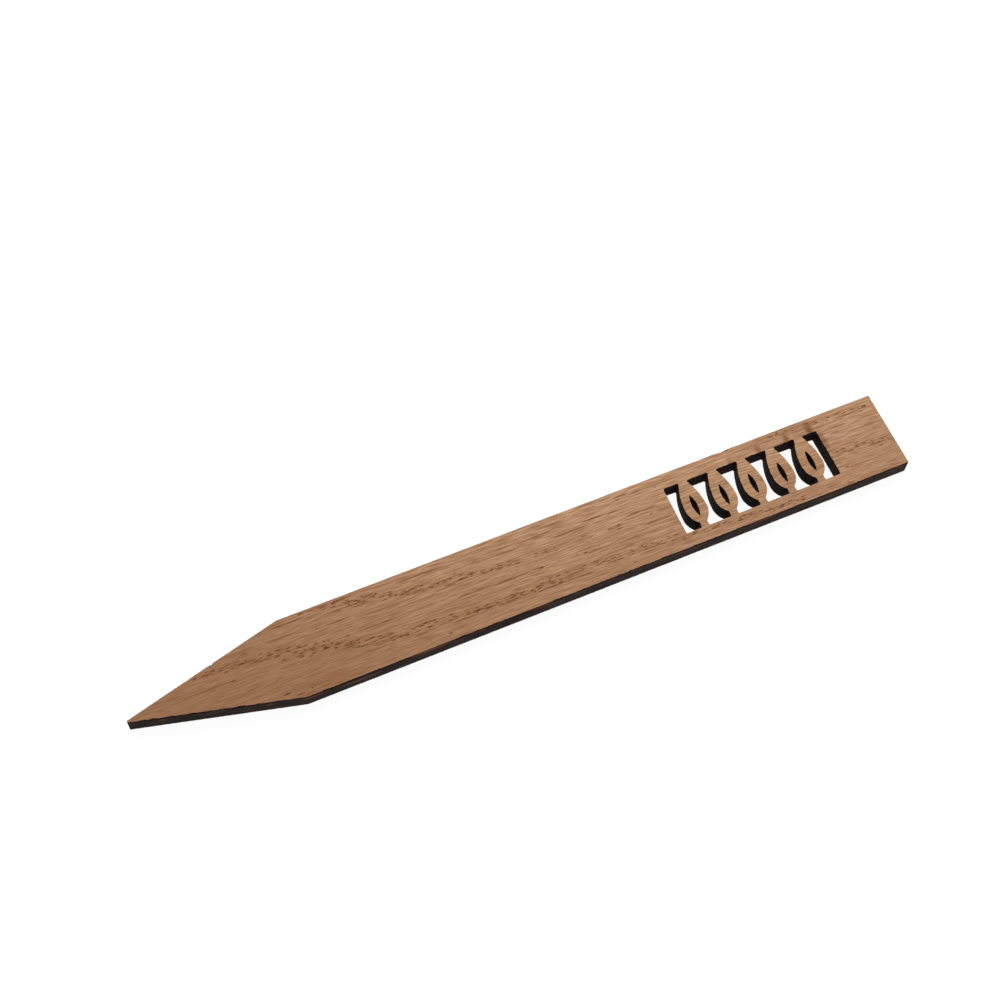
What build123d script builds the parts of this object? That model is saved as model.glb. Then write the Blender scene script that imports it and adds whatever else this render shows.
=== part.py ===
from build123d import *
from math import asin, atan2, hypot, tan
import os

# A flat wooden plant label stake, laser-cut from one oak board. It lies face up: the point looks
# towards -X, the square end towards +X, and the board's thickness runs up +Z. The origin is the
# middle of the underside. Near the square end a row of leaves stands in a pierced band, each leaf
# joined to the rail on either side of the band. All sizes are millimetres.

# Board
length = 200.0
width = 20.8
thickness = 4.8

# Outline
point_length = 40.0
point_radius = 0.3
end_corner_radius = 0.3

# Pierced band
end_margin = 17.4
band_length = 42.7
far_rail = 4.0
near_rail = 3.7
band_corner_radius = 0.3

# Leaves in the band
leaf_count = 5
leaf_width = 5.8
leaf_tip_width = 2.1
leaf_widest_share = 0.4
stem_width = 2.1
stem_height = 1.4
stem_fillet = 0.6

# Slot along the middle of each leaf
midrib_width = 1.3
midrib_length = 6.0
midrib_rise = 3.0

# How far a cut runs past the face that it leaves
overrun = 1.0

# Lines that the sizes above give
point_x = -length / 2
shoulder_x = point_x + point_length
end_x = length / 2
side_y = width / 2

# The flanks run from the shoulders past the rounded point and would meet at sharp_x
nose_run = point_length - point_radius
flank_angle = atan2(side_y, nose_run) - asin(point_radius / hypot(nose_run, side_y))
sharp_x = shoulder_x - side_y / tan(flank_angle)

band_height = width - far_rail - near_rail
band_end_x = end_x - end_margin
band_x = band_end_x - band_length / 2
band_foot_y = near_rail - side_y
band_y = band_foot_y + band_height / 2
leaf_gap = (band_length - leaf_count * leaf_width) / (leaf_count + 1)
leaf_pitch = leaf_width + leaf_gap
leaf_widest_y = band_height * leaf_widest_share


# One leaf, drawn upright with the middle of its foot at the sketch's origin. The stem rises from
# the near rail, one arc rounds the blade's base and a longer one draws it in to the far rail.
with BuildSketch() as leaf:
    with BuildLine():
        foot = (stem_width / 2, -overrun)
        stem_top = (stem_width / 2, stem_height)
        widest = (leaf_width / 2, leaf_widest_y)
        tip = (leaf_tip_width / 2, band_height)
        tip_end = (leaf_tip_width / 2, band_height + overrun)
        Line((0, -overrun), foot)
        Line(foot, stem_top)
        TangentArc(widest, stem_top, tangent=(0, -1))
        TangentArc(widest, tip, tangent=(0, 1))
        Line(tip, tip_end)
        Line(tip_end, (0, band_height + overrun))
        mirror(about=Plane.YZ)
    make_face()
    fillet(leaf.vertices().group_by(SortBy.DISTANCE)[0], radius=stem_fillet)


# The slot along a leaf's middle: a slender pointed oval of two arcs.
with BuildSketch() as midrib:
    with BuildLine():
        slot_foot = (0, midrib_rise)
        slot_side = (midrib_width / 2, midrib_rise + midrib_length / 2)
        slot_top = (0, midrib_rise + midrib_length)
        ThreePointArc(slot_foot, slot_side, slot_top)
        mirror(about=Plane.YZ)
    make_face()


# All that the laser drops out of the board: the band around the leaves, and each leaf's slot.
with BuildSketch() as piercing:
    with Locations((band_x, band_y)):
        Rectangle(band_length, band_height)
    with Locations((band_x, band_foot_y)):
        with GridLocations(leaf_pitch, 0, leaf_count, 1):
            add(leaf.sketch, mode=Mode.SUBTRACT)
    corners = piercing.vertices().group_by(Axis.Y)
    fillet(corners[0] + corners[-1], radius=band_corner_radius)
    with Locations((band_x, band_foot_y)):
        with GridLocations(leaf_pitch, 0, leaf_count, 1):
            add(midrib.sketch)


with BuildPart() as stake:
    with BuildSketch() as outline:
        with BuildLine():
            Polyline(
                (sharp_x, 0),
                (shoulder_x, -side_y),
                (end_x, -side_y),
                (end_x, side_y),
                (shoulder_x, side_y),
                close=True,
            )
        make_face()
        across = outline.vertices().group_by(Axis.X)
        fillet(across[0], radius=point_radius)
        fillet(across[-1], radius=end_corner_radius)
    extrude(amount=thickness)
    with BuildSketch(Plane.XY.offset(-overrun)):
        add(piercing.sketch)
    extrude(amount=thickness + 2 * overrun, mode=Mode.SUBTRACT)
stake.part.label = "stake"


os.makedirs("parts", exist_ok=True)
export_step(stake.part, "parts/stake.step")

print("gap between leaves at their widest", round(leaf_gap, 2), "mm")
print("volume", round(stake.part.volume, 1), "mm3")
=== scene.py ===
# %% [markdown]
# # A laser-cut oak plant stake
#
# The object is one strip of oak board, 200 mm long. A laser cut its outline and the row of leaves
# near its square end, and left every cut wall charred. This script dresses the measured model of
# the stake: it keeps the outline that the model gives, and makes the board again with what a
# drawing leaves out, such as the burnt walls, the worn arrises, the open pores and the grain.
#
# Blender works in metres. Sizes below are in millimetres, and MM turns them into metres.

# %% Load the measured model
from math import pi, radians

import bmesh
import bpy
from mathutils import Matrix, Vector


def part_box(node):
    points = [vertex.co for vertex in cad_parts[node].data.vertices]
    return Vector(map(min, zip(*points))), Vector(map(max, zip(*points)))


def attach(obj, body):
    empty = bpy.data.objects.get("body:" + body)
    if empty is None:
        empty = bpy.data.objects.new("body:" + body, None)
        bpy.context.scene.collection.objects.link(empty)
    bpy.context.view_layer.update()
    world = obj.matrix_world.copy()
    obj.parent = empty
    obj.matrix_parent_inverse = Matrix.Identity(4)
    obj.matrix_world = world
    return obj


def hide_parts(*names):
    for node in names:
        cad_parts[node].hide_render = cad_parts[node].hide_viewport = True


MM = 0.001
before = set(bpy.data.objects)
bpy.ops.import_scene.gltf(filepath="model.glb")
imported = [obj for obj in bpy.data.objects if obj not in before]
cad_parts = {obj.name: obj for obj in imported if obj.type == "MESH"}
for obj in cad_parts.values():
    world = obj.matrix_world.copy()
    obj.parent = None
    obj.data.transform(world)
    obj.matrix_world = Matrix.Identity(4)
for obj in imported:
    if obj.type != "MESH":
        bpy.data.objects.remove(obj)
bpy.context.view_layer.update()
board_low, board_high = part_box("stake")
length, width, thickness = (board_high - board_low) / MM
point_x, side_y = board_low.x / MM, board_high.y / MM
print("board", round(length, 2), "x", round(width, 2), "x", round(thickness, 2), "mm")

# %% [markdown]
# ## A small language for node trees
#
# Both the shape and the finish of this board are made with nodes. By hand each node takes three
# steps: make it, set it up, plug it in. `put` does all three, for geometry and for materials. A
# value in `inputs` is either a plain value or another node's output.

# %% Helpers that build node trees
def put(tree, kind, inputs=None, **settings):
    node = tree.nodes.new(kind)
    for name, value in settings.items():
        setattr(node, name, value)
    for name, value in (inputs or {}).items():
        if isinstance(value, bpy.types.NodeSocket):
            tree.links.new(value, node.inputs[name])
        else:
            node.inputs[name].default_value = value
    return node


def maths(tree, operation, *values):
    inputs = dict(enumerate(values))
    return put(tree, "ShaderNodeMath", inputs, operation=operation).outputs[0]


def vectors(tree, operation, *values):
    inputs = dict(enumerate(values))
    return put(tree, "ShaderNodeVectorMath", inputs, operation=operation).outputs[0]


def split(tree, place):
    """The x, y and z of a place, which also go by the names "X", "Y" and "Z"."""
    return put(tree, "ShaderNodeSeparateXYZ", {0: place}).outputs


def joined(tree, x=0.0, y=0.0, z=0.0):
    return put(tree, "ShaderNodeCombineXYZ", {0: x, 1: y, 2: z}).outputs[0]


def noise(tree, place, sizes, detail=2.0, shift=0.0):
    """Blotches that are about as long, wide and deep as `sizes`. `shift` gives another pattern."""
    scaled = vectors(tree, "DIVIDE", place, sizes)
    moved = vectors(tree, "ADD", scaled, (shift, shift, shift))
    inputs = {"Vector": moved, "Scale": 1.0, "Detail": detail}
    return put(tree, "ShaderNodeTexNoise", inputs).outputs[0]


def ramp(tree, value, low, high, start=0.0, stop=1.0):
    """Turns `low` into `start` and `high` into `stop`, with a soft step between them."""
    inputs = {"Value": value, "From Min": low, "From Max": high, "To Min": start, "To Max": stop}
    return put(tree, "ShaderNodeMapRange", inputs, interpolation_type="SMOOTHSTEP").outputs[0]


# %% [markdown]
# ## The cut line
#
# The laser followed closed lines: the outline, the openings round the leaves and the slot in each
# leaf. The measured model holds them as the rim of its upper face. The model's mesh is loose
# triangles, so a copy of it is welded first. The rim is then every edge of the upper face whose
# other side is a wall. Long edges are divided into short steps, because the burnt wall will be
# roughened at each step. Tracing the model like this is better than drawing the outline again: the
# dressed board can't drift away from the measured one.
#
# Each edge is kept with the wood on its right, against the way in which the upper face goes round
# it, and so the walls that are raised from the line will all face outwards.

# %% Helpers that find the rim and divide it
# Points closer together than this, in millimetres, are one point
weld = 0.001


def rim_edges(node, height):
    """Both ends of each edge round the node's upper face, in millimetres."""
    work = bmesh.new()
    work.from_mesh(node.data)
    bmesh.ops.remove_doubles(work, verts=work.verts, dist=weld * MM)

    def is_upper(face):
        return all(abs(corner.co.z / MM - height) < weld for corner in face.verts)

    rim = []
    for face in filter(is_upper, work.faces):
        for corner in face.loops:
            if not all(is_upper(side) for side in corner.edge.link_faces):
                rim.append((corner.link_loop_next.vert.co / MM, corner.vert.co / MM))
    work.free()
    return rim


def divide(rim, step):
    """Points and edges of the same rim in steps of about `step`, with each shared corner once."""
    points, edges, numbers = [], [], {}

    def number_of(point):
        key = (round(point.x / weld), round(point.y / weld))
        if key not in numbers:
            numbers[key] = len(points)
            points.append((point.x * MM, point.y * MM, 0))
        return numbers[key]

    for start, end in rim:
        parts = max(1, round((end - start).length / step))
        chain = [number_of(start.lerp(end, part / parts)) for part in range(parts + 1)]
        edges += zip(chain, chain[1:])
    return points, edges


# %% Read the cut line from the model's upper face
cut_step = 0.27
cut_points, cut_edges = divide(rim_edges(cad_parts["stake"], thickness), cut_step)
line_mesh = bpy.data.meshes.new("cut_line")
line_mesh.from_pydata(cut_points, cut_edges, [])
stake = bpy.data.objects.new("oak_stake", line_mesh)
bpy.context.scene.collection.objects.link(stake)
print("cut line of", len(cut_points), "points")

# %% [markdown]
# ## Three finishes on one board
#
# A cut wall, a sanded face and an open pore look nothing alike, so the board carries three
# materials. They are only named here, because the geometry trees below hand them out while they
# cut. Their colours come later.

# %% Name the finishes
oak = bpy.data.materials.new("oiled_oak")
char = bpy.data.materials.new("charred_wall")
pore = bpy.data.materials.new("open_pore")
print("finishes:", oak.name, char.name, pore.name)

# %% [markdown]
# ## Trees that can be used again
#
# Each of the next steps is a Geometry Nodes tree with named inputs for its sizes, so that it can
# be put on another board. `use_tree` fills the inputs by their names. `settle` turns the result
# into a plain mesh, because a modifier that stays would be worked out again at each render.

# %% Helpers that make and use a geometry tree
def new_tree(name, **named_inputs):
    tree = bpy.data.node_groups.new(name, "GeometryNodeTree")
    outside = tree.interface
    outside.new_socket("Geometry", in_out="OUTPUT", socket_type="NodeSocketGeometry")
    outside.new_socket("Geometry", in_out="INPUT", socket_type="NodeSocketGeometry")
    for label, kind in named_inputs.items():
        outside.new_socket(label, in_out="INPUT", socket_type="NodeSocket" + kind)
    given = tree.nodes.new("NodeGroupInput").outputs
    result = tree.nodes.new("NodeGroupOutput").inputs[0]
    return tree, given, result


def use_tree(piece, tree, **values):
    modifier = piece.modifiers.new(tree.name, "NODES")
    modifier.node_group = tree
    sockets = {item.name: item.identifier for item in tree.interface.items_tree}
    for label, value in values.items():
        modifier[sockets[label]] = value


def settle(piece):
    seen = bpy.context.evaluated_depsgraph_get()
    mesh = bpy.data.meshes.new_from_object(piece.evaluated_get(seen))
    # An empty material slot would show as plain white
    for number in reversed(range(len(mesh.materials))):
        if mesh.materials[number] is None:
            mesh.materials.pop(index=number)
    piece.modifiers.clear()
    piece.data = mesh
    print(piece.name, "has", len(mesh.polygons), "faces")


def position(tree):
    """Where each point of the geometry is, in metres."""
    return put(tree, "GeometryNodeInputPosition").outputs[0]


def painted(tree, mesh, material):
    inputs = {"Geometry": mesh, "Material": material}
    return put(tree, "GeometryNodeSetMaterial", inputs).outputs[0]


def without(tree, geometry, unwanted, domain):
    inputs = {"Geometry": geometry, "Selection": unwanted}
    return put(tree, "GeometryNodeDeleteGeometry", inputs, domain=domain).outputs[0]


def open_line(tree, mesh, level, reach):
    """The open edges of `mesh` that lie within `reach` of the height `level`, as a curve."""
    height = split(tree, position(tree))["Z"]
    gap = maths(tree, "ABSOLUTE", maths(tree, "SUBTRACT", height, level))
    at_level = maths(tree, "LESS_THAN", gap, reach)
    # An open edge has one face beside it, and any other edge has two
    sides = put(tree, "GeometryNodeInputMeshEdgeNeighbors").outputs[0]
    is_open = maths(tree, "LESS_THAN", sides, 1.5)
    inputs = {"Mesh": mesh, "Selection": maths(tree, "MULTIPLY", at_level, is_open)}
    return put(tree, "GeometryNodeMeshToCurve", inputs).outputs[0]


# %% [markdown]
# ## Raising the walls
#
# A cut goes straight through the board, so its wall is the cut line raised by the thickness. It is
# raised in rows, which gives the wall the points that the next tree moves. The first and the last
# row are only as high as a burnt arris.

# %% The tree that raises the walls
wall_rows = 6
arris_height = 0.12


def wall_tree():
    tree, given, result = new_tree("raise_walls", Thickness="Float", Arris="Float", Wall="Material")
    arrises = maths(tree, "MULTIPLY", given["Arris"], 2.0)
    between = maths(tree, "SUBTRACT", given["Thickness"], arrises)
    row = maths(tree, "DIVIDE", between, wall_rows)
    mesh, line = given["Geometry"], True
    for rise in [given["Arris"]] + [row] * wall_rows + [given["Arris"]]:
        upwards = joined(tree, z=rise)
        inputs = {"Mesh": mesh, "Selection": line, "Offset": upwards, "Offset Scale": 1}
        raised = put(tree, "GeometryNodeExtrudeMesh", inputs, mode="EDGES").outputs
        mesh, line = raised["Mesh"], raised["Top"]
    tree.links.new(painted(tree, mesh, given["Wall"]), result)
    return tree


board_sizes = {"Thickness": thickness * MM, "Arris": arris_height * MM}
use_tree(stake, wall_tree(), **board_sizes, Wall=char)
print("walls of", wall_rows + 2, "rows of faces")

# %% [markdown]
# ## What the laser does to a wall
#
# A laser fires in pulses and burns soft early wood faster than late wood, so its wall is never
# flat. It has fine upright ridges, a slow waviness, and arrises that have burnt back a little, more
# in some places than in others. Noise that is stretched upwards gives the ridges. The walls stand
# alone so far, so their normals are level, and points that move along them keep their height.
#
# The point is thin and gets hot, so its arrises are worn more than others, but not at its very end,
# which has to stay a point. A few nicks are listed where this stake has them.

# %% How far the walls are burnt back
ridge_pitch, ridge_depth = 0.5, 0.035
wave_pitch, wave_depth = 9.0, 0.05
wear_pitch, wear_depth = 0.9, 0.11
arris_burn = 0.02
# The heights of the noise between which the wear sets in
wear_from, wear_to = 0.47, 0.7
# Times the wear elsewhere: along the point, and at its very end
point_wear, end_wear = 1.5, 0.4
# Distances from the point over which the wear rises and later falls again
wear_rise, wear_fall = (0.5, 4.0), (25.0, 45.0)
# The noise hardly passes this height, so a wall is burnt back and never stands proud
crest = 0.7
# The place of each nick, how far it reaches and how deep it goes
nicks = [
    ((-77.6, 5.8, thickness), 0.6, 0.24),
    ((-84.0, 4.0, thickness), 1.2, 0.08),
    ((51.5, side_y, thickness), 2.4, 0.1),
    ((57.5, side_y, thickness), 2.8, 0.15),
    ((63.0, side_y, thickness), 2.2, 0.08),
]
print("nicks:", len(nicks), "of which the deepest is", max(depth for *_, depth in nicks), "mm")


# %% The tree that burns the walls
def near(tree, place, spot, reach, core=0.0, peak=1.0):
    """`peak` at `spot` and over the `core` share of its reach, none at `reach` and beyond."""
    shrink = [1 / size for size in reach]
    centre = [-middle / size for middle, size in zip(spot, reach)]
    share = vectors(tree, "MULTIPLY_ADD", place, shrink, centre)
    far = put(tree, "ShaderNodeVectorMath", {0: share}, operation="LENGTH").outputs["Value"]
    return ramp(tree, far, core, 1.0, peak, 0.0)


def burn_tree():
    tree, given, result = new_tree(
        "burn_walls", Thickness="Float", Ridges="Float", Waves="Float", Burn="Float", Wear="Float"
    )
    place = vectors(tree, "DIVIDE", position(tree), (MM, MM, MM))

    upright = (ridge_pitch, ridge_pitch, 3 * thickness)
    ridges = maths(tree, "SUBTRACT", noise(tree, place, upright, detail=3.0), crest)
    waves = maths(tree, "SUBTRACT", noise(tree, place, (wave_pitch,) * 3), crest)
    outwards = maths(tree, "MULTIPLY", ridges, given["Ridges"])
    outwards = maths(tree, "MULTIPLY_ADD", waves, given["Waves"], outwards)
    for spot, reach, depth in nicks:
        bite = near(tree, place, spot, (reach,) * 3)
        outwards = maths(tree, "MULTIPLY_ADD", bite, -depth * MM, outwards)
    outwards = maths(tree, "MINIMUM", outwards, 0.0)

    patchy = noise(tree, place, (wear_pitch,) * 3, detail=3.0, shift=7.0)
    worn = ramp(tree, patchy, wear_from, wear_to)
    along = split(tree, place)["X"]
    rise_from, rise_to = [point_x + distance for distance in wear_rise]
    fall_from, fall_to = [point_x + distance for distance in wear_fall]
    past_end = ramp(tree, along, rise_from, rise_to, end_wear, point_wear)
    past_point = ramp(tree, along, fall_from, fall_to, point_wear, 1.0)
    worn = maths(tree, "MULTIPLY", worn, maths(tree, "MINIMUM", past_end, past_point))
    burnt = maths(tree, "MULTIPLY_ADD", worn, given["Wear"], given["Burn"])

    height = split(tree, position(tree))["Z"]
    middle = maths(tree, "DIVIDE", given["Thickness"], 2.0)
    from_middle = maths(tree, "ABSOLUTE", maths(tree, "SUBTRACT", height, middle))
    on_rim = maths(tree, "GREATER_THAN", from_middle, maths(tree, "SUBTRACT", middle, weld * MM))
    inwards = maths(tree, "MULTIPLY", burnt, on_rim)

    normal = put(tree, "GeometryNodeInputNormal").outputs[0]
    shift = put(tree, "ShaderNodeVectorMath", {0: normal}, operation="SCALE")
    tree.links.new(maths(tree, "SUBTRACT", outwards, inwards), shift.inputs["Scale"])
    inputs = {"Geometry": given["Geometry"], "Offset": shift.outputs[0]}
    tree.links.new(put(tree, "GeometryNodeSetPosition", inputs).outputs[0], result)
    return tree


depths = {"Ridges": ridge_depth, "Waves": wave_depth, "Burn": arris_burn, "Wear": wear_depth}
print("depths of the burn in mm:", depths)
depths = {label: depth * MM for label, depth in depths.items()}
use_tree(stake, burn_tree(), Thickness=thickness * MM, **depths)

# %% [markdown]
# ## Open pores
#
# Oak is ring-porous: each year's growth starts with wide vessels, and where a sanded face cuts
# them they show as short dark grooves. They lie in bands that wander across the face, with few
# between. The bands are drawn as lines with a spread, which may start outside the board,
# and `early_wood` says how much a place belongs to one. The same function will colour the early
# wood later, so that pores and colour agree. Inside a band the pores gather in patches, which a
# stretched noise gives.

# %% Where the pore bands run
# x, y and about half the band's width in millimetres, from the point towards the square end
pore_bands = [
    [
        (-100, 4.6, 0.3), (-86, 4.3, 0.5), (-78, 3.9, 1.0), (-70, 3.3, 1.4), (-62, 1.9, 1.6),
        (-52, -0.5, 1.7), (-44, -2.6, 1.5), (-36, -4.0, 1.2), (-25, -5.0, 1.3), (-14, -5.7, 1.0),
        (4, -5.9, 1.4), (22, -6.1, 1.2), (42, -7.2, 0.9), (62, -8.8, 0.8), (86, -9.8, 0.5),
        (100, -10.4, 0.3),
    ],
    [
        (-100, 19.0, 0.5), (-60, 11.8, 0.6), (-50, 9.6, 1.0), (-40, 7.9, 1.2), (-28, 5.2, 1.1),
        (-14, 3.6, 0.9), (2, 2.2, 0.8), (20, 1.7, 0.7), (38, 1.0, 0.7), (60, 0.2, 0.8),
        (84, -1.4, 1.1), (100, -2.8, 1.3),
    ],
    [(-100, 20.0, 0.4), (40, 12.0, 0.4), (66, 9.7, 0.5), (84, 8.7, 0.7), (100, 7.6, 0.9)],
]
print("pore bands:", len(pore_bands))

# %% How much a place belongs to a pore band
# The bands lean through the board, so they come out further up on the underside
band_lean = 2.4
# Shares of a band's half width: the thick of it, and where it has ended
band_core, band_rim = 0.45, 1.15
patch_size = (7.0, 0.9, 7.0)
# The heights of the noise between which a patch sets in, and what is left between patches
patch_from, patch_to = 0.4, 0.56
between_patches = 0.12


def drawn_path(tree, x, points, reach):
    """A smooth path through (x, value) points, whose values lie within plus or minus `reach`."""
    share = maths(tree, "DIVIDE", maths(tree, "SUBTRACT", x, point_x), length)
    node = put(tree, "ShaderNodeFloatCurve", {"Value": share})
    handles = node.mapping.curves[0].points
    spots = [((place - point_x) / length, (value / reach + 1) / 2) for place, value in points]
    handles[0].location, handles[1].location = spots[0], spots[-1]
    for spot in spots[1:-1]:
        handles.new(*spot)
    node.mapping.update()
    return maths(tree, "MULTIPLY_ADD", node.outputs[0], 2 * reach, -reach)


def early_wood(tree, place):
    """One in the thick of a pore band, none away from it."""
    x, y, z = split(tree, place)
    lean = maths(tree, "MULTIPLY_ADD", z, -band_lean / thickness, band_lean)
    y = maths(tree, "SUBTRACT", y, lean)
    mask = 0.0
    for band in pore_bands:
        middle = drawn_path(tree, x, [(band_x, band_y) for band_x, band_y, spread in band], width)
        spread = drawn_path(tree, x, [(band_x, spread) for band_x, band_y, spread in band], width)
        off = maths(tree, "ABSOLUTE", maths(tree, "SUBTRACT", y, middle))
        share = maths(tree, "DIVIDE", off, spread)
        inside = ramp(tree, share, band_core, band_rim, 1.0, 0.0)
        mask = maths(tree, "MAXIMUM", mask, inside)
    blotches = noise(tree, place, patch_size, detail=1.0)
    patches = ramp(tree, blotches, patch_from, patch_to, between_patches, 1.0)
    return maths(tree, "MULTIPLY", mask, patches)


# %% [markdown]
# A boolean could cut the grooves, but two grooves that cross leave slivers that triangulate badly.
# So the tree keeps them apart from the start. It squeezes the face lengthwise by the shape of a
# groove, which makes the long grooves as round as dots, and scatters points on it with a least
# distance. Points near the cut line or, mostly, outside the bands are dropped. On each point left
# goes a bowl, the lower half of a ball. Its open rim lies in the face, and the tree that closes the
# board fills the face round it.

# %% One pore, and how pores differ
# The least and the most of each size in millimetres, and of the turn in degrees
pore_half_length = (0.3, 0.9)
pore_half_width = (0.06, 0.13)
pore_depth = (0.05, 0.12)
pore_turn = (-2.0, 0.5)
pore_shape = pore_half_length[1] / pore_half_width[1]
bowl_sides, bowl_rings = 8, 4
print("a long pore is", round(pore_shape, 1), "times as long as it is wide")


def dice(tree, low, high, seed):
    """A random number between `low` and `high` for each point."""
    node = put(tree, "FunctionNodeRandomValue", {"Seed": seed}, data_type="FLOAT")
    ends = [socket for socket in node.inputs if socket.type == "VALUE"]
    ends[0].default_value, ends[1].default_value = low, high
    return next(socket for socket in node.outputs if socket.type == "VALUE")


def bowl(tree):
    """The lower half of a ball of radius 1, with its faces towards the inside."""
    inputs = {"Segments": bowl_sides, "Rings": bowl_rings, "Radius": 1}
    ball = put(tree, "GeometryNodeMeshUVSphere", inputs).outputs[0]
    height = split(tree, position(tree))["Z"]
    half = without(tree, ball, maths(tree, "GREATER_THAN", height, 0.0), "FACE")
    return put(tree, "GeometryNodeFlipFaces", {"Mesh": half}).outputs[0]


# %% The tree that sinks the pores
# The share of the least distance between pores that stays free along the cut line
edge_share = 0.7
# The share of points that are kept where there is no band
stray_share = 0.006
# More tries to a square metre than there is room for, so the least distance sets how many fit
tries_per_area = 1e8


def pore_tree():
    tree, given, result = new_tree(
        "open_pores", Level="Float", Turn_over="Float", Apart="Float", Seed="Int", Pore="Material"
    )
    squeeze = (1 / pore_shape, 1, 0)
    line = open_line(tree, given["Geometry"], given["Level"], weld * MM)
    flat = put(tree, "GeometryNodeFillCurve", {"Curve": line}, mode="TRIANGLES").outputs[0]
    flat = put(tree, "GeometryNodeTransform", {"Geometry": flat, "Scale": squeeze}).outputs[0]
    edge = put(tree, "GeometryNodeCurveToMesh", {"Curve": line}).outputs[0]
    edge = put(tree, "GeometryNodeTransform", {"Geometry": edge, "Scale": squeeze}).outputs[0]

    inputs = {"Mesh": flat, "Distance Min": given["Apart"], "Density Max": tries_per_area}
    inputs |= {"Density Factor": 1.0, "Seed": given["Seed"]}
    poisson = {"distribute_method": "POISSON"}
    dots = put(tree, "GeometryNodeDistributePointsOnFaces", inputs, **poisson).outputs[0]

    place = position(tree)
    inputs = {"Geometry": edge, "Sample Position": place}
    to_edge = put(tree, "GeometryNodeProximity", inputs, target_element="EDGES").outputs["Distance"]
    kept_free = maths(tree, "MULTIPLY", given["Apart"], edge_share)
    dots = without(tree, dots, maths(tree, "LESS_THAN", to_edge, kept_free), "POINT")

    lift = joined(tree, z=given["Level"])
    back = vectors(tree, "MULTIPLY_ADD", place, (pore_shape, 1, 1), lift)
    inputs = {"Geometry": dots, "Position": back}
    dots = put(tree, "GeometryNodeSetPosition", inputs).outputs[0]

    real_place = vectors(tree, "DIVIDE", position(tree), (MM, MM, MM))
    chance = maths(tree, "MAXIMUM", early_wood(tree, real_place), stray_share)
    unlucky = maths(tree, "GREATER_THAN", dice(tree, 0, 1, seed=1), chance)
    dots = without(tree, dots, unlucky, "POINT")

    ranges = enumerate((pore_half_length, pore_half_width, pore_depth))
    sizes = [dice(tree, low * MM, high * MM, seed=2 + axis) for axis, (low, high) in ranges]
    turn = dice(tree, *map(radians, pore_turn), seed=5)
    turn = joined(tree, x=given["Turn_over"], z=turn)
    inputs = {"Points": dots, "Instance": bowl(tree), "Rotation": turn}
    inputs |= {"Scale": joined(tree, *sizes)}
    bowls = put(tree, "GeometryNodeInstanceOnPoints", inputs).outputs[0]
    both = put(tree, "GeometryNodeJoinGeometry")
    tree.links.new(given["Geometry"], both.inputs[0])
    bowls = put(tree, "GeometryNodeRealizeInstances", {"Geometry": bowls}).outputs[0]
    tree.links.new(painted(tree, bowls, given["Pore"]), both.inputs[0])
    tree.links.new(both.outputs[0], result)
    return tree


# %% Sink pores into the upper face and the underside
pores_apart = 0.33
upper_seed, lower_seed = 3, 8
sink = pore_tree()
shared = {"Apart": pores_apart * MM, "Pore": pore}
use_tree(stake, sink, Level=thickness * MM, Turn_over=0.0, Seed=upper_seed, **shared)
use_tree(stake, sink, Level=0.0, Turn_over=pi, Seed=lower_seed, **shared)
print("trees on the board:", [modifier.name for modifier in stake.modifiers])

# %% [markdown]
# ## The two faces
#
# The faces are filled last, inside the arrises that are already burnt and round the pores, so no
# triangle is folded by a point that moves later. The tree takes the open edges at each height as a
# curve, fills it, and merges the seam. Fill Curve works at height zero and faces up, so the upper
# face is lifted and the lower one is flipped.

# %% The tree that closes the board
# Points of the wall and the face closer together than this, in metres, are merged
seam = 1e-7
# The share of an arris's height within which an open edge still counts as the face's
level_share = 0.25


def face_tree():
    tree, given, result = new_tree("close_faces", Thickness="Float", Arris="Float", Face="Material")
    reach = maths(tree, "MULTIPLY", given["Arris"], level_share)
    ends = put(tree, "GeometryNodeJoinGeometry")
    tree.links.new(given["Geometry"], ends.inputs[0])
    for side, level in (("upper", given["Thickness"]), ("lower", 0.0)):
        line = open_line(tree, given["Geometry"], level, reach)
        flat = put(tree, "GeometryNodeFillCurve", {"Curve": line}, mode="TRIANGLES").outputs[0]
        face = painted(tree, flat, given["Face"])
        if side == "upper":
            lift = joined(tree, z=level)
            inputs = {"Geometry": face, "Translation": lift}
            face = put(tree, "GeometryNodeTransform", inputs).outputs[0]
        else:
            face = put(tree, "GeometryNodeFlipFaces", {"Mesh": face}).outputs[0]
        tree.links.new(face, ends.inputs[0])
    inputs = {"Geometry": ends.outputs[0], "Distance": seam}
    closed = put(tree, "GeometryNodeMergeByDistance", inputs).outputs[0]
    tree.links.new(closed, result)
    return tree


use_tree(stake, face_tree(), **board_sizes, Face=oak)
settle(stake)

# %% [markdown]
# ## Shading
#
# The walls are smooth between their crisp corners. The faces stay flat shaded: their triangles are
# long, and a smooth normal at one pore would smear right across the board.

# %% Shade the walls smooth and the faces flat
crisp_angle = 35
stake.data.set_sharp_from_angle(angle=radians(crisp_angle))
for polygon in stake.data.polygons:
    polygon.use_smooth = stake.data.materials[polygon.material_index] == char
for number, material in enumerate(stake.data.materials):
    faces = [polygon for polygon in stake.data.polygons if polygon.material_index == number]
    print(material.name, "on", sum(len(face.vertices) - 2 for face in faces), "triangles")

# %% [markdown]
# ## How a finish is built
#
# Every finish is one Principled shader that is fed from the board's own coordinates, in
# millimetres, so a pattern stays on the wood from every side. Colours are written as a paint
# program gives them. `over` lays one colour on another where its share says so, and a finish is a
# pile of such layers.

# %% Helpers for finishes
def colour(red, green, blue):
    """A colour from 0 to 255, in the linear shares that Blender's nodes need."""
    shares = [value / 255 for value in (red, green, blue)]
    linear = [s / 12.92 if s <= 0.04045 else ((s + 0.055) / 1.055) ** 2.4 for s in shares]
    return (*linear, 1.0)


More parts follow.
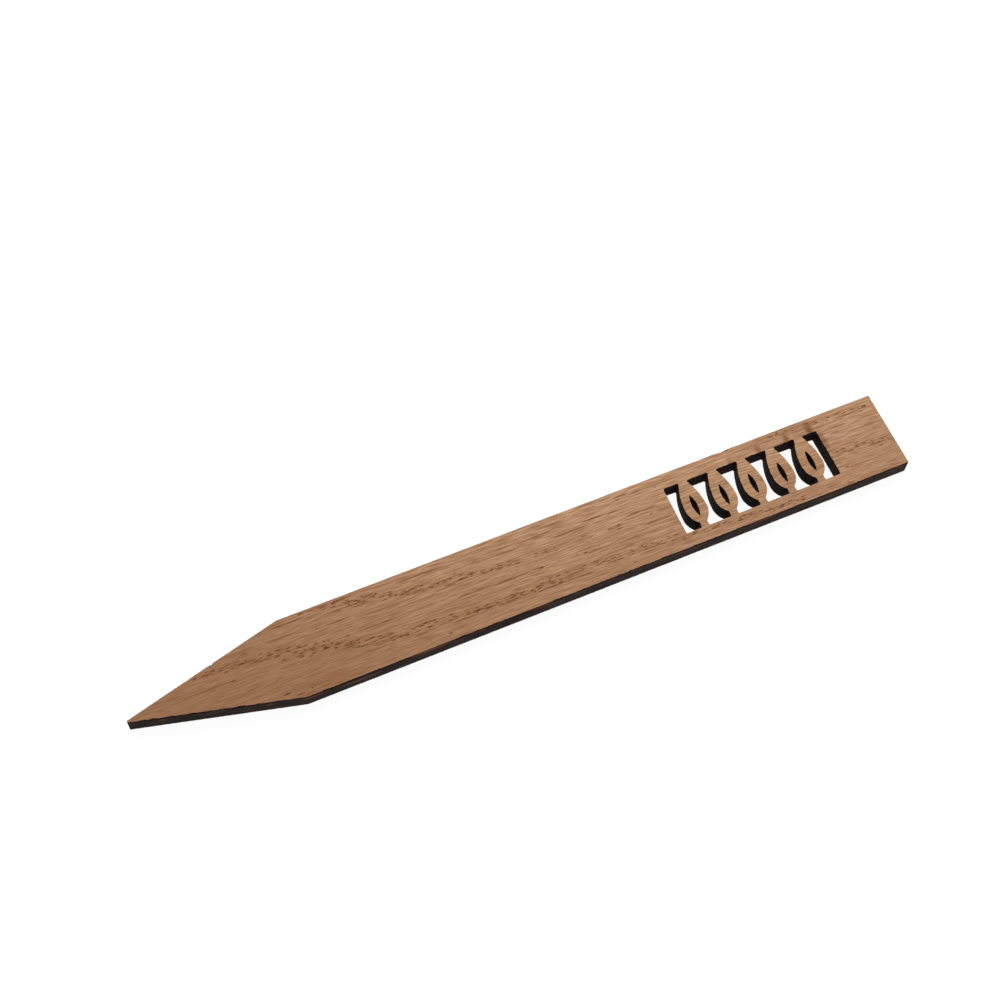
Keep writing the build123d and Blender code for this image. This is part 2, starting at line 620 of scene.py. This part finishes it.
def over(tree, share, top, below):
    """The colour `top` laid on `below`: not at all where `share` is none, fully where it is one."""
    # The colour sockets of a Mix node share their names with others, so they go by number
    inputs = {0: share, 6: below, 7: top}
    return put(tree, "ShaderNodeMix", inputs, data_type="RGBA").outputs[2]


def start_material(material):
    """The material's tree, the inputs of its new shader, and the place in millimetres."""
    material.use_nodes = True
    tree = material.node_tree
    tree.nodes.clear()
    surface = put(tree, "ShaderNodeBsdfPrincipled")
    put(tree, "ShaderNodeOutputMaterial", {"Surface": surface.outputs[0]})
    place = put(tree, "ShaderNodeTexCoord").outputs["Object"]
    place = vectors(tree, "DIVIDE", place, (MM, MM, MM))
    return tree, surface.inputs, place


def relief(tree, height, depth):
    """Bump of `depth` millimetres between the lowest and the highest `height`."""
    inputs = {"Height": height, "Strength": 1.0, "Distance": depth * MM}
    return put(tree, "ShaderNodeBump", inputs).outputs[0]


# %% [markdown]
# ## Oiled oak
#
# Sanded oak looks striped because the saw cut slantwise through its year rings. A plain stretched
# noise gives straight stripes, which look printed. Here the coordinates are bent first: turned a
# little, since this board's grain runs down towards the square end, and pushed sideways by a slow
# noise, so that the stripes wander and close up as real ones do.
#
# On the bent coordinates lie, from coarse to fine, broad tones, streaks, fibres and thin brown
# lines. The early wood is browner, with a dusting of dashes that are pores too fine to model. Where
# this board has a long line, a dark fleck or a trace of smoke from the laser, it is put in place
# from a list.

# %% Marks that are put on the wood one by one
# Each is x, y, half length and half width in millimetres, and strength
brown_lines = [
    (-79.5, 3.7, 2, 0.2, 0.9), (-80, 0.1, 8, 0.22, 0.7), (-74.5, 4.6, 1, 0.2, 0.9),
    (-73, 4.1, 2.2, 0.24, 1), (-70, 3.1, 3.6, 0.26, 1), (-74, 3.4, 1, 0.22, 0.9),
    (-69.8, 5.4, 1.1, 0.3, 0.9), (-66.5, 2.4, 2.6, 0.22, 0.9), (-66, 1.9, 2.4, 0.22, 0.9),
    (-64.2, 2.8, 1.2, 0.36, 1), (-66.2, 3.8, 0.7, 0.2, 0.9), (-62, 3.1, 1.4, 0.22, 1),
    (-59.5, 2.8, 0.8, 0.22, 0.8), (-58.5, 1.1, 0.8, 0.3, 1), (-56, 1.7, 1.1, 0.24, 0.8),
    (-61.5, 0.2, 1.4, 0.2, 0.8), (-58, -0.2, 1.2, 0.2, 0.8), (-55.6, -1.2, 0.8, 0.28, 0.9),
    (-53.4, 1.1, 1, 0.26, 0.9), (-51.4, -0.8, 1.3, 0.34, 1), (-50.4, 0.8, 0.6, 0.24, 0.9),
    (-60, 5.8, 5, 0.22, 0.8), (-58, 8.7, 5.5, 0.26, 0.9), (-61, -9.2, 1.2, 0.24, 1),
    (-59, -9.8, 1.6, 0.24, 0.8), (-55, -9.3, 1.5, 0.24, 0.8), (-52, -9.9, 1.4, 0.24, 0.9),
    (-78.8, -5.4, 1, 0.24, 0.8), (-64, -7.4, 3, 0.22, 0.5), (-57, -8.1, 2.6, 0.24, 0.5),
    (-44.5, 9.5, 2.2, 0.32, 0.9), (-48.3, 9.5, 1.4, 0.24, 0.8), (-42.5, 8.2, 1.6, 0.24, 1),
    (-37.5, 8.1, 2, 0.22, 0.9), (-36, 7.6, 0.7, 0.22, 0.9), (-43, 7.2, 6.5, 0.22, 0.9),
    (-40, 6.5, 3, 0.2, 0.8), (-34.5, 6.5, 1.3, 0.32, 1), (-46.5, 4.6, 4, 0.22, 0.8),
    (-34, 3.4, 8, 0.24, 0.5), (-27, 5.5, 1.7, 0.26, 1), (-29.5, 5.1, 1.4, 0.2, 0.8),
    (-26, 4.5, 1.6, 0.26, 0.9), (-24, 8.2, 7, 0.24, 0.9), (-18, 4.6, 6, 0.2, 0.9),
    (-16.4, 5.2, 0.8, 0.26, 0.8), (-18.5, 3, 2, 0.24, 0.9), (-15.5, 3.3, 2.4, 0.32, 1),
    (-12.4, 3.6, 1.8, 0.22, 0.8), (-8, 2.7, 2, 0.22, 0.9), (-6.2, 2.3, 1.2, 0.22, 0.8),
    (-2.5, 2.8, 2.4, 0.2, 0.8), (-5, 7, 5, 0.22, 0.7), (-4, 5.7, 6, 0.24, 0.7),
    (-38, 0.2, 8, 0.24, 1), (-26, -0.1, 4, 0.2, 0.5), (-14, -0.9, 5.5, 0.24, 1),
    (-4, -1.3, 5.5, 0.24, 1), (-48.4, -0.9, 1.4, 0.2, 0.8), (-45.6, -1.6, 1.3, 0.2, 0.9),
    (-46, -2.1, 1.8, 0.2, 0.9), (-46.2, -2.6, 1.8, 0.22, 0.9), (-45, -3.1, 1.5, 0.2, 0.9),
    (-41.3, -2.6, 1.8, 0.24, 1), (-38, -3.5, 2, 0.24, 0.7), (-36.3, -3.3, 1, 0.26, 0.9),
    (-38.5, -4.7, 2.8, 0.2, 0.9), (-34.5, -4.7, 1.8, 0.22, 0.9), (-36, -4.2, 1.6, 0.2, 0.8),
    (-28, -3.9, 3, 0.24, 0.9), (-28.5, -6.1, 3.2, 0.2, 0.8), (-43, -5.5, 8, 0.24, 0.6),
    (-19, -6.5, 4, 0.22, 0.8), (-14.8, -5.6, 1.4, 0.3, 1), (-13, -5.9, 1.8, 0.22, 0.9),
    (-4, -5.5, 3, 0.22, 0.9), (-6, -6.6, 2.6, 0.22, 0.8), (-4.5, -4.3, 1.8, 0.26, 0.6),
    (9.5, 8.2, 4.6, 0.24, 0.9), (5, 6.7, 6, 0.26, 0.8), (14, 4.7, 6, 0.24, 1),
    (21, 4.4, 2, 0.2, 0.7), (20.5, 5.8, 4, 0.22, 1), (26, 5.6, 3, 0.22, 0.9),
    (29, 8.8, 2.6, 0.24, 1), (33.5, 8.5, 2, 0.22, 0.8), (42, 8.8, 2.4, 0.22, 0.6),
    (32.5, 3.1, 5, 0.24, 1), (35.5, -0.7, 4.4, 0.22, 0.9), (17.5, -2.2, 2.8, 0.2, 0.8),
    (28.5, -2.7, 3.6, 0.26, 0.6), (3, -1.3, 3.4, 0.2, 0.7), (3.5, -4.1, 1.5, 0.26, 0.8),
    (10, -5.9, 3.4, 0.24, 0.7), (5, -6.9, 6, 0.2, 0.9), (12, -7.2, 3, 0.2, 0.8),
    (21, -6.6, 2.8, 0.24, 1), (16, -4.9, 1.4, 0.22, 0.9), (20, -5.2, 2.2, 0.22, 0.8),
    (33, -5, 5, 0.26, 0.5), (31, -6.8, 5, 0.2, 0.6), (15, -8.7, 5, 0.22, 0.7),
    (47.6, -7.8, 1.2, 0.3, 0.9), (61.5, -9, 1.6, 0.22, 0.8), (70.5, -9.4, 1.2, 0.24, 0.9),
    (84, -9.9, 1.2, 0.22, 0.9), (94, 3, 5, 0.2, 0.6), (92, 7.6, 4, 0.26, 0.7),
    (90, 8.8, 1.4, 0.24, 0.7), (88, -2, 1.6, 0.22, 0.8), (94, -2.6, 2, 0.22, 0.8),
]
dark_flecks = [
    (-82.4, 3.7, 0.6, 0.2, 0.8), (-75, 2.6, 0.7, 0.26, 0.9), (-49.4, -1.6, 0.6, 0.3, 0.9),
    (-64, -8, 1.2, 0.3, 1), (-43.4, -3.6, 0.9, 0.24, 0.8), (-21.6, -5.6, 0.8, 0.24, 0.8),
    (-15.4, -5.6, 1.2, 0.24, 0.8), (-11.6, -6.1, 1.4, 0.18, 0.7), (-33, -4.8, 1, 0.18, 0.7),
    (1.5, -5.7, 0.8, 0.2, 0.6), (-9.6, 2.6, 0.8, 0.16, 0.5), (-40.4, -2.6, 0.9, 0.16, 0.7),
]
smoke = [
    (74.6, 7.2, 1.6, 3, 0.9), (81.2, 7.3, 1.8, 3.2, 1), (66.6, 7, 1.5, 2.6, 0.7),
    (58.6, 6.8, 1.2, 2, 0.5), (50.4, 6.7, 1.2, 1.4, 0.35), (83.2, 3.4, 1.2, 5, 0.7),
    (74, 10.5, 8.5, 0.7, 0.9), (42, -6.9, 2, 0.8, 0.3), (64.5, -6.9, 2, 0.8, 0.3),
]
reddish = [
    (-53, -8.4, 11, 2.6, 0.7), (-66, -6, 7, 1.6, 0.3), (79, 9, 7, 1.8, 0.5),
    (66, 8.8, 8, 1.6, 0.4), (-60, -10, 7, 0.8, 0.6),
]
print("marks:", len(brown_lines), "lines,", len(dark_flecks), "flecks,", len(smoke), "of smoke")

# %% [markdown]
# A mark is a spot with a soft rim, most often a long one that follows the grain. Its place is
# straightened by the grain's slope, as the wood's coordinates are. It reaches only a little way
# down, so the underside has none of the upper face's marks.

# %% A helper that draws the marks
# How far the grain runs sideways for each millimetre along the board
grain_slope = 0.02
mark_depth = 1.5


def marks(tree, place, spots, core=0.0):
    """The strongest of the marks in `spots`, each at its full strength over the `core` share."""
    result = 0.0
    for x, y, half_length, half_width, strength in spots:
        spot = (x, y + grain_slope * x, thickness)
        reach = (half_length, half_width, mark_depth)
        shape = near(tree, place, spot, reach, core, strength)
        result = maths(tree, "MAXIMUM", result, shape)
    return result


# %% Bend the coordinates as the grain runs
# The size of each bend, and how far it pushes the grain sideways
quick_bend, quick_push = (11.0, 2.2, 4.0), 0.5
slow_bend, slow_push = (42.0, 11.0, 11.0), 2.2

tree, surface, place = start_material(oak)
along, across, depth = split(tree, place)
straight = maths(tree, "MULTIPLY_ADD", along, grain_slope, across)
wiggle = maths(tree, "SUBTRACT", noise(tree, place, quick_bend), 0.5)
straight = maths(tree, "MULTIPLY_ADD", wiggle, quick_push, straight)
sway = maths(tree, "SUBTRACT", noise(tree, place, slow_bend, detail=1.0), 0.5)
bent = maths(tree, "MULTIPLY_ADD", sway, slow_push, straight)
mark_place = joined(tree, along, straight, depth)
grain_place = joined(tree, along, bent, depth)
print("the grain runs", round(grain_slope * length, 1), "mm sideways over the board's length")

# %% Patterns of the grain
broad_size = (60.0, 4.5, 4.0)
streak_size = (16.0, 0.3, 1.5)
fibre_size = (4.5, 0.18, 0.6)
# The heights of the noise between which a thin line or a dash sets in
line_size, line_from, line_to = (11.0, 0.24, 1.5), 0.58, 0.68
dash_size, dash_from, dash_to = (1.4, 0.15, 0.6), 0.54, 0.66

broad = noise(tree, grain_place, broad_size, detail=1.0)
streaks = noise(tree, grain_place, streak_size)
fibres = noise(tree, grain_place, fibre_size)
lines = noise(tree, grain_place, line_size, detail=1.0, shift=4.0)
lines = ramp(tree, lines, line_from, line_to)
dashes = noise(tree, grain_place, dash_size, detail=1.0, shift=9.0)
dashes = ramp(tree, dashes, dash_from, dash_to)
early = early_wood(tree, place)
print("fibres are about", fibre_size[1], "mm wide and streaks", streak_size[1], "mm")

# %% Lay the grain's colours on each other
# How much each pattern adds to the tone, and the offset that centres their sum
broad_share, streak_share, fibre_share, tone_offset = 0.1, 1.7, 3.1, -1.94
# This board is browner towards its point and its near side: partly the wood's own tone, and partly
# painted shade where the light falls off
tip_tone_and_shade_strength, tip_tone_and_shade_end = 0.62, 35.0
near_tone_and_shade_strength = 0.3
line_strength, early_strength = 0.4, 0.18
# The strength of the dashes away from the early wood, and what the early wood adds to it
plain_dashes, early_dashes = 0.08, 0.6

tone = maths(tree, "MULTIPLY_ADD", broad, broad_share, tone_offset)
tone = maths(tree, "MULTIPLY_ADD", streaks, streak_share, tone)
tone = maths(tree, "MULTIPLY_ADD", fibres, fibre_share, tone)
tone = put(tree, "ShaderNodeClamp", {"Value": tone}).outputs[0]
wood = over(tree, tone, colour(208, 165, 126), colour(148, 104, 71))
# Partly painted shade: the wood is painted browner towards the point, where less light falls
tip_tone_and_painted_shade = ramp(tree, along, point_x, tip_tone_and_shade_end, tip_tone_and_shade_strength, 0.0)
wood = over(tree, tip_tone_and_painted_shade, colour(142, 96, 62), wood)
# Partly painted shade: the wood is painted browner towards the near side, where less light falls
near_tone_and_painted_shade = ramp(tree, across, -side_y, side_y, near_tone_and_shade_strength, 0.0)
wood = over(tree, near_tone_and_painted_shade, colour(138, 94, 62), wood)
lines = maths(tree, "MULTIPLY", lines, line_strength)
wood = over(tree, lines, colour(132, 85, 47), wood)
wood = over(tree, maths(tree, "MULTIPLY", early, early_strength), colour(146, 93, 51), wood)
speckle = maths(tree, "MULTIPLY_ADD", early, early_dashes, plain_dashes)
wood = over(tree, maths(tree, "MULTIPLY", dashes, speckle), colour(118, 71, 35), wood)

# %% Lay the marks on the grain
# Lines and flecks are broken up by a noise that takes up to half of their strength
ragged_size, ragged_from, ragged_to, least_left = (2.2, 0.2, 1.0), 0.36, 0.56, 0.5
line_core, fleck_core = 0.6, 0.5

ragged = noise(tree, grain_place, ragged_size, shift=2.0)
ragged = ramp(tree, ragged, ragged_from, ragged_to, least_left, 1.0)
line_marks = marks(tree, mark_place, brown_lines, line_core)
line_marks = maths(tree, "MULTIPLY", line_marks, ragged)
wood = over(tree, line_marks, colour(122, 72, 34), wood)
fleck_marks = marks(tree, mark_place, dark_flecks, fleck_core)
fleck_marks = maths(tree, "MULTIPLY", fleck_marks, ragged)
wood = over(tree, fleck_marks, colour(62, 32, 12), wood)
wood = over(tree, marks(tree, mark_place, reddish), colour(150, 100, 65), wood)
wood = over(tree, marks(tree, mark_place, smoke), colour(122, 72, 36), wood)
tree.links.new(wood, surface["Base Color"])
print(oak.name, "has", len(tree.nodes), "nodes")

# %% [markdown]
# Oil lies on the wood without closing its grain. So the wood is a little glossier along pale
# fibres, its dashes are dents, and it reflects far less than a varnish would.

# %% Gloss and relief of the oak
roughest, fibre_gloss = 0.72, 0.2
dash_dent = 0.3
oak_relief = 0.03

roughness = maths(tree, "MULTIPLY_ADD", fibres, -fibre_gloss, roughest)
tree.links.new(roughness, surface["Roughness"])
height = maths(tree, "MULTIPLY_ADD", dashes, -dash_dent, fibres)
tree.links.new(relief(tree, height, oak_relief), surface["Normal"])
surface["Specular IOR Level"].default_value = 0.18
print("oak's relief is", oak_relief, "mm deep")

# %% [markdown]
# ## Charred walls
#
# A laser leaves a dry, dull crust of soot and char: nearly black at the arrises, where the beam
# dwelt, and dark brown between, with upright streaks from its pulses. Inside the narrow openings
# the walls are painted blacker, as painted shade. A wall that is seen flat on would look
# painted in one colour, so patches of redder, less burnt wood show through it.

# %% Patches and cracks that are put on the near wall one by one
# Each is its place, how far it reaches each way, and its strength
bare_patches = [
    ((-92, -2, 3.2), (2.4, 1.5, 1), 0.7), ((-68.5, -8.3, 3.2), (2, 1.5, 1.2), 0.6),
    ((-47, -side_y, 2.8), (8, 1, 0.8), 1.2), ((-59, -side_y, 3.6), (6, 1, 0.7), 1.1),
    ((-29, -side_y, 4.2), (8, 1, 1.3), 0.9), ((0, -side_y, 3.9), (6, 1, 1.1), 0.7),
    ((60, -side_y, 4.3), (6, 1, 0.9), 0.8), ((-12, -side_y, 4), (3, 1, 0.7), 0.4),
]
cracks = [
    ((-60.5, -side_y, 4.5), (4.5, 1, 0.35), 0.9), ((-55, -side_y, 4.2), (5, 1, 0.4), 1),
    ((-49, -side_y, 3.8), (5.5, 1, 0.45), 1), ((-43, -side_y, 3.4), (4.5, 1, 0.35), 0.8),
]
print("on the near wall:", len(bare_patches), "bare patches and", len(cracks), "cracks")

# %% The crust of char and soot
scorch_pitch = (0.32, 0.32, 9.0)
patch_pitch = (6.0, 6.0, 2.2)
scorch_share, patch_share, crust_offset = 1.3, 1.4, -0.85
# The point's walls are sooted all over, and that thins out along the board
tip_soot_from, tip_soot_to, tip_soot_strength = -5.0, 30.0, 0.6
# How far soot reaches from each arris, over which share of that it is thickest, and its strength
upper_soot, upper_thick, upper_strength = 1.15, 0.5, 0.85
lower_soot, lower_thick, lower_strength = 0.55, 0.3, 0.6

tree, surface, place = start_material(char)
x, y, z = split(tree, place)
scorch = noise(tree, place, scorch_pitch, detail=3.0)
patches = noise(tree, place, patch_pitch, shift=3.0)
tone = maths(tree, "MULTIPLY_ADD", scorch, scorch_share, crust_offset)
tone = maths(tree, "MULTIPLY_ADD", patches, patch_share, tone)
tone = put(tree, "ShaderNodeClamp", {"Value": tone}).outputs[0]
crust = over(tree, tone, colour(68, 53, 48), colour(38, 29, 26))
tip_soot = ramp(tree, x, tip_soot_from, tip_soot_to, tip_soot_strength, 0.0)
crust = over(tree, tip_soot, colour(34, 24, 21), crust)
below_face = maths(tree, "SUBTRACT", thickness, z)
soot = ramp(tree, below_face, upper_thick * upper_soot, upper_soot, upper_strength, 0.0)
low_soot = ramp(tree, z, lower_thick * lower_soot, lower_soot, lower_strength, 0.0)
soot = maths(tree, "MAXIMUM", soot, low_soot)
crust = over(tree, soot, colour(20, 14, 12), crust)
print("soot reaches", upper_soot, "mm down and", lower_soot, "mm up")

# %% [markdown]
# Where the beam went faster, the wood shows through the char. Such a patch isn't a clean oval: the
# char on it is torn into fine level shreds. So each patch only says how likely the wood is to show,
# and a noise that is stretched along the wall decides. Over the brightest patch, at the shoulder,
# the char has split in one long black line.

# %% Bare wood and cracks in the crust
torn_pitch, torn_share = (2.4, 2.4, 0.25), 1.6
# The heights of noise and patch together between which wood shows, and how clearly it does
bare_from, bare_to, bare_strength = 1.02, 1.75, 0.85
# The heights of the slow noise between which a chance patch sets in, and its strength
chance_from, chance_to, chance_strength = 0.5, 0.64, 0.3
patch_core, crack_core = 0.2, 0.4

bare = ramp(tree, patches, chance_from, chance_to, 0.0, chance_strength)
for spot, reach, strength in bare_patches:
    patch = near(tree, place, spot, reach, patch_core, strength)
    bare = maths(tree, "MAXIMUM", bare, patch)
torn = noise(tree, place, torn_pitch, detail=3.0, shift=5.0)
bare = maths(tree, "MULTIPLY_ADD", torn, torn_share, bare)
bare = ramp(tree, bare, bare_from, bare_to, 0.0, bare_strength)
crust = over(tree, bare, colour(106, 70, 48), crust)
for spot, reach, strength in cracks:
    crack = near(tree, place, spot, reach, crack_core, strength)
    crust = over(tree, crack, colour(14, 10, 9), crust)
print("bare wood shows with a strength of up to", bare_strength)

# %% Painted shade: blacker walls in the openings
# The middle of the pierced band, and how far from it the painted shade ends
band_middle, band_reach, band_past = 61.0, 23.0, 26.0
# The same, as distances from the board's sides
rail_inside, rail_outside = 1.8, 0.8
opening_shade_strength = 0.8

# Painted shade: the walls inside the narrow openings are darkened, as shade falls there
off_y = maths(tree, "ABSOLUTE", y)
opening_shade_y = ramp(tree, off_y, side_y - rail_inside, side_y - rail_outside, 1.0, 0.0)
off_x = maths(tree, "ABSOLUTE", maths(tree, "SUBTRACT", x, band_middle))
opening_shade_x = ramp(tree, off_x, band_reach, band_past, 1.0, 0.0)
inside = maths(tree, "MULTIPLY", opening_shade_x, opening_shade_y)
inside = maths(tree, "MULTIPLY", inside, opening_shade_strength)
# The crust's colour under the painted shade, blacker and browner
shaded_crust = over(tree, tone, colour(44, 28, 23), colour(18, 11, 9))
crust = over(tree, inside, shaded_crust, crust)
tree.links.new(crust, surface["Base Color"])
print(char.name, "has", len(tree.nodes), "nodes")

# %% Gloss and relief of the char
driest, patch_gloss = 0.95, 0.3
grit_pitch = (0.2, 0.2, 0.3)
char_relief = 0.05

roughness = maths(tree, "MULTIPLY_ADD", patches, -patch_gloss, driest)
tree.links.new(roughness, surface["Roughness"])
grit = maths(tree, "ADD", scorch, noise(tree, place, grit_pitch))
tree.links.new(relief(tree, grit, char_relief), surface["Normal"])
surface["Specular IOR Level"].default_value = 0.08
print("the char's relief is", char_relief, "mm deep")

# %% [markdown]
# ## Open pores
#
# An open pore is a groove full of fine dust and oil, which makes it brown. It is painted darker
# with depth as painted shade, so its colour follows how far it lies under the face that it was sunk
# into.

# %% Fill the pores with colour
# In millimetres: the most that dust adds to the depth of the painted shade, and where the groove is
# palest and darkest
dust_and_shade_size, dust_and_shade_depth = (1.2, 0.5, 0.5), 0.06
lip_depth, dark_depth = 0.03, 0.1

tree, surface, place = start_material(pore)
z = split(tree, place)["Z"]
from_middle = maths(tree, "ABSOLUTE", maths(tree, "SUBTRACT", z, thickness / 2))
sunk = maths(tree, "SUBTRACT", thickness / 2, from_middle)
sunk = maths(tree, "MULTIPLY_ADD", noise(tree, place, dust_and_shade_size), dust_and_shade_depth, sunk)
# Painted shade: the groove darkens with depth, and dust makes that patchy
dust_and_depth_shade = ramp(tree, sunk, lip_depth, dark_depth)
groove = over(tree, dust_and_depth_shade, colour(94, 53, 27), colour(150, 96, 52))
tree.links.new(groove, surface["Base Color"])
surface["Roughness"].default_value = 0.85
surface["Specular IOR Level"].default_value = 0.05
print(pore.name, "has", len(tree.nodes), "nodes")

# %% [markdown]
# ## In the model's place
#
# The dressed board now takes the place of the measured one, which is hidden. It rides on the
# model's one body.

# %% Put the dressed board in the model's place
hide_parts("stake")
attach(stake, "root")
print(stake.name, "stands for the measured board")

# %% [markdown]
# ## The camera
#
# The camera looks from where the photograph was taken: over the near side, from high up, and close
# enough that the square end looks smaller. Its place and direction were worked out from the board's
# corners in the photograph. Two directions set its turn: where it looks, and which way is down in
# the picture.

# %% Camera
camera_place = Vector((-91.62, -160.25, 397.81))
camera_forward = Vector((0.2109, 0.4060, -0.8892))
camera_down = Vector((-0.3436, -0.8208, -0.4563))
lens, film_width = 65.06, 36
nearest, farthest = 0.01, 10

back = -camera_forward.normalized()
right = (-camera_down).cross(back).normalized()
up = back.cross(right)
turn = Matrix((right, up, back)).transposed().to_4x4()
camera = bpy.data.objects.new("camera", bpy.data.cameras.new("camera"))
camera.data.lens = lens
camera.data.sensor_width = film_width
camera.data.clip_start, camera.data.clip_end = nearest, farthest
camera.matrix_world = Matrix.Translation(camera_place * MM) @ turn
bpy.context.scene.collection.objects.link(camera)
bpy.context.scene.camera = camera
print("the camera is", round(camera_place.length), "mm from the board's middle")

# %% [markdown]
# ## White paper
#
# The stake lies on white paper that fills the picture. If only lamps made it white, they would
# burn out the wood too. So the paper has two looks. For the light that bounces onto the stake it is
# plain paper. For the camera it also glows, and only a share of its brightness comes from the
# lamps, which leaves the stake's shadow a soft grey. Light Path tells the two kinds of ray apart.

# %% Floor
# Half the floor's side, in metres
floor_half = 3.0
floor_mesh = bpy.data.meshes.new("floor")
corners = [(x * floor_half, y * floor_half, 0) for x, y in ((-1, -1), (1, -1), (1, 1), (-1, 1))]
floor_mesh.from_pydata(corners, [], [(0, 1, 2, 3)])
floor = bpy.data.objects.new("floor", floor_mesh)
bpy.context.scene.collection.objects.link(floor)
print("floor of", 2 * floor_half, "m square")

# %% White paper on the floor
paper_colour = (0.8, 0.8, 0.8, 1.0)
# What the camera sees is mostly glow, and a share of the light that falls on the paper
paper_glow = 0.92
shadow_share = 0.16


def seen_directly(tree):
    """One for rays from the camera or a mirror or glass, none for light that spreads."""
    rays = put(tree, "ShaderNodeLightPath").outputs
    seen = maths(tree, "MAXIMUM", rays["Is Camera Ray"], rays["Is Glossy Ray"])
    return maths(tree, "MAXIMUM", seen, rays["Is Transmission Ray"])


paper = bpy.data.materials.new("white_paper")
paper.use_nodes = True
tree = paper.node_tree
tree.nodes.clear()
lit = put(tree, "ShaderNodeBsdfDiffuse", {"Color": paper_colour}).outputs[0]
shaded = [share * shadow_share for share in paper_colour[:3]] + [1.0]
shaded = put(tree, "ShaderNodeBsdfDiffuse", {"Color": shaded}).outputs[0]
glow = put(tree, "ShaderNodeEmission", {"Strength": paper_glow}).outputs[0]
shown = put(tree, "ShaderNodeAddShader", {0: shaded, 1: glow}).outputs[0]
inputs = {0: seen_directly(tree), 1: lit, 2: shown}
both_looks = put(tree, "ShaderNodeMixShader", inputs).outputs[0]
put(tree, "ShaderNodeOutputMaterial", {"Surface": both_looks})
floor.data.materials.append(paper)
print("the camera sees paper with a glow of", paper_glow)

# %% [markdown]
# ## Light
#
# The photograph has soft light from all round and a little more from behind and the square end. A
# pale world gives the first, and one large soft box the second. Together they light the wood so
# that a colour shows about as it is written. The world looks white where the camera sees it.

# %% Light from all round
sky_light = 0.6
world = bpy.data.worlds.new("studio")
bpy.context.scene.world = world
world.use_nodes = True
tree = world.node_tree
strength = maths(tree, "MULTIPLY_ADD", seen_directly(tree), 1.0 - sky_light, sky_light)
background = tree.nodes["Background"].inputs
background["Color"].default_value = (1.0, 1.0, 1.0, 1.0)
tree.links.new(strength, background["Strength"])
print("the world lights the board with a strength of", sky_light)

# %% A soft box
# Its place, what it points at and its side in metres, and its power in watts
box_place, box_target = Vector((0.35, 0.45, 0.7)), Vector((0.05, 0, 0))
box_side, box_power = 0.5, 4.0

soft_box = bpy.data.lights.new("key", "AREA")
soft_box.shape = "SQUARE"
soft_box.size = box_side
soft_box.energy = box_power
lamp = bpy.data.objects.new("key", soft_box)
lamp.location = box_place
lamp.rotation_euler = (box_target - box_place).to_track_quat("-Z", "Y").to_euler()
bpy.context.scene.collection.objects.link(lamp)
print("a soft box of", box_power, "W,", round((box_target - box_place).length, 2), "m away")

# %% [markdown]
# ## The plain view
#
# The plain view keeps the colours about as they are written.

# %% The plain view
bpy.context.scene.view_settings.view_transform = "Standard"
